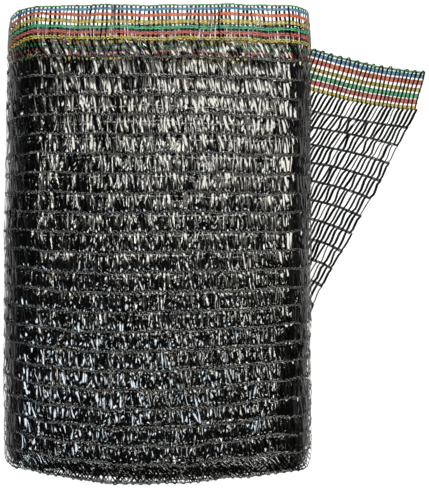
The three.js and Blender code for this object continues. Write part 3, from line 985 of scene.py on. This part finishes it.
# The narrow strip lamps: place, width, and watts to a metre of width. They share the rest.
STRIPS = (
    {"place": (0.10, -0.62, 1.1), "wide": 0.24, "power": 6.4},
    {"place": (0.20, -0.16, 1.1), "wide": 0.18, "power": 6.2},
    {"place": (-0.16, 0.10, 1.2), "wide": 0.2, "power": 6.8},
    {"place": (0.0, 0.78, 1.0), "wide": 0.6, "power": 7.6},
    {"place": (0.31, -0.25, 1.0), "wide": 0.1, "power": 3.6},
)
STRIP_DEEP = 0.055
STRIP_AIM = (0.0, -0.05, 0.0)
STRIP_TINT = (1.0, 1.0, 0.94)


class SHADENET_OT_stage(bpy.types.Operator):
    """Set the pale floor, the soft lamps and the camera straight above"""
    bl_idname = "shadenet.stage"
    bl_label = "Stage"

    def execute(self, context):
        bpy.ops.object.select_all(action="DESELECT")
        bpy.ops.mesh.primitive_plane_add(size=6.0, location=(0, 0, 0))
        floor = context.object
        floor.name = "floor"
        floor.data.materials.append(self.floor_material())
        camera = bpy.data.objects.new("camera", bpy.data.cameras.new("camera"))
        camera.data.lens = CAMERA_LENS
        camera.location = (CAMERA_RIGHT, 0, THICKNESS / 2 + CAMERA_HIGH)
        context.scene.collection.objects.link(camera)
        context.scene.camera = camera
        for lamp in LAMPS:
            self.lamp(context, **lamp)
        for number, strip in enumerate(STRIPS):
            self.lamp(context, f"strip_{number}", strip["place"], STRIP_AIM, (strip["wide"], STRIP_DEEP),
                      strip["power"] * strip["wide"], STRIP_TINT)
        self.world(context)
        context.scene.view_settings.view_transform = "Standard"
        return {"FINISHED"}

    @staticmethod
    def lamp(context, name, place, aim, size, power, tint):
        """A soft rectangular lamp that points at its aim and doesn't show itself."""
        data = bpy.data.lights.new(name, "AREA")
        data.shape = "RECTANGLE"
        data.size, data.size_y = size
        data.energy, data.color = power, tint
        lamp = bpy.data.objects.new(name, data)
        lamp.location = place
        direction = np.array(place) - np.array(aim)
        lamp.rotation_euler = Vector(direction).to_track_quat("Z", "Y").to_euler()
        lamp.visible_camera = False
        context.scene.collection.objects.link(lamp)

    @staticmethod
    def shown(tree):
        """Two masks: 1 for a camera ray, and 1 for any ray that shows the background, to the camera or in a
        gloss. A ray that lights is 0 in both."""
        rays = node(tree, "ShaderNodeLightPath")
        gloss = node(tree, "ShaderNodeMath",
                     links={0: rays.outputs["Is Glossy Ray"], 1: rays.outputs["Is Transmission Ray"]},
                     operation="MAXIMUM")
        either = node(tree, "ShaderNodeMath", links={0: rays.outputs["Is Camera Ray"], 1: gloss.outputs[0]},
                      operation="MAXIMUM")
        return rays.outputs["Is Camera Ray"], either.outputs[0]

    @classmethod
    def floor_material(cls):
        """Matt white paper, which shows as the white ground with the object's soft shadow on it."""
        material, tree = new_material("white paper")
        _, shown = cls.shown(tree)
        seen = node(tree, "ShaderNodeMapRange", {"To Min": 0.5, "To Max": 0.22}, {"Value": shown}).outputs[0]
        paper = node(tree, "ShaderNodeBsdfDiffuse", links={"Color": seen})
        glow_level = node(tree, "ShaderNodeMapRange", {"To Min": 0.0, "To Max": 0.78},
                          {"Value": shown}).outputs[0]
        glow = node(tree, "ShaderNodeEmission", {"Color": (1.0, 1.0, 1.0, 1.0)}, {"Strength": glow_level})
        both = node(tree, "ShaderNodeAddShader", links={0: paper.outputs[0], 1: glow.outputs[0]})
        node(tree, "ShaderNodeOutputMaterial", links={"Surface": both.outputs[0]})
        return material

    @classmethod
    def world(cls, context):
        """White all round for the camera. A gloss sees white walls near the horizon, under a dim ceiling."""
        world = bpy.data.worlds.new("studio")
        context.scene.world = world
        world.use_nodes = True
        tree = world.node_tree
        tree.nodes.clear()
        camera, shown = cls.shown(tree)
        direction = node(tree, "ShaderNodeTexCoord").outputs["Generated"]
        rise = node(tree, "ShaderNodeSeparateXYZ", links={"Vector": direction}).outputs["Z"]
        walls = node(tree, "ShaderNodeMapRange",
                     {"From Min": 0.05, "From Max": 0.5, "To Min": 0.30, "To Max": 0.03},
                     {"Value": rise}).outputs[0]
        lit = node(tree, "ShaderNodeMix", {"A": 0.14}, {"Factor": shown, "B": walls}).outputs["Result"]
        strength = node(tree, "ShaderNodeMix", {"B": 1.0}, {"Factor": camera, "A": lit}).outputs["Result"]
        ground = node(tree, "ShaderNodeBackground", {"Color": (1.0, 1.0, 1.0, 1.0)}, {"Strength": strength})
        node(tree, "ShaderNodeOutputWorld", links={"Surface": ground.outputs[0]})


class SHADENET_PT_panel(bpy.types.Panel):
    """The net's pieces and settings, in the sidebar"""
    bl_label = "Shade Net"
    bl_idname = "SHADENET_PT_panel"
    bl_space_type = "VIEW_3D"
    bl_region_type = "UI"
    bl_category = "Shade Net"

    def draw(self, context):
        for operator in PIECES:
            self.layout.operator(operator.bl_idname)
        for settings in (sizes(), colours()):
            for name in settings.__annotations__:
                self.layout.prop(settings, name)


PIECES = (SHADENET_OT_stage, SHADENET_OT_outer_turn, SHADENET_OT_inner_turns, SHADENET_OT_loose_end)
CLASSES = (ShadeNetSizes, ShadeNetColours, *PIECES, SHADENET_PT_panel)


def register():
    for each in CLASSES:
        bpy.utils.register_class(each)
    bpy.types.Scene.shade_net_sizes = bpy.props.PointerProperty(type=ShadeNetSizes)
    bpy.types.Scene.shade_net_colours = bpy.props.PointerProperty(type=ShadeNetColours)


def unregister():
    del bpy.types.Scene.shade_net_colours
    del bpy.types.Scene.shade_net_sizes
    for each in reversed(CLASSES):
        bpy.utils.unregister_class(each)


def main():
    register()
    bpy.ops.shadenet.stage()
    bpy.ops.shadenet.outer_turn()
    bpy.ops.shadenet.inner_turns()
    bpy.ops.shadenet.loose_end()


if __name__ == "__main__":
    main()
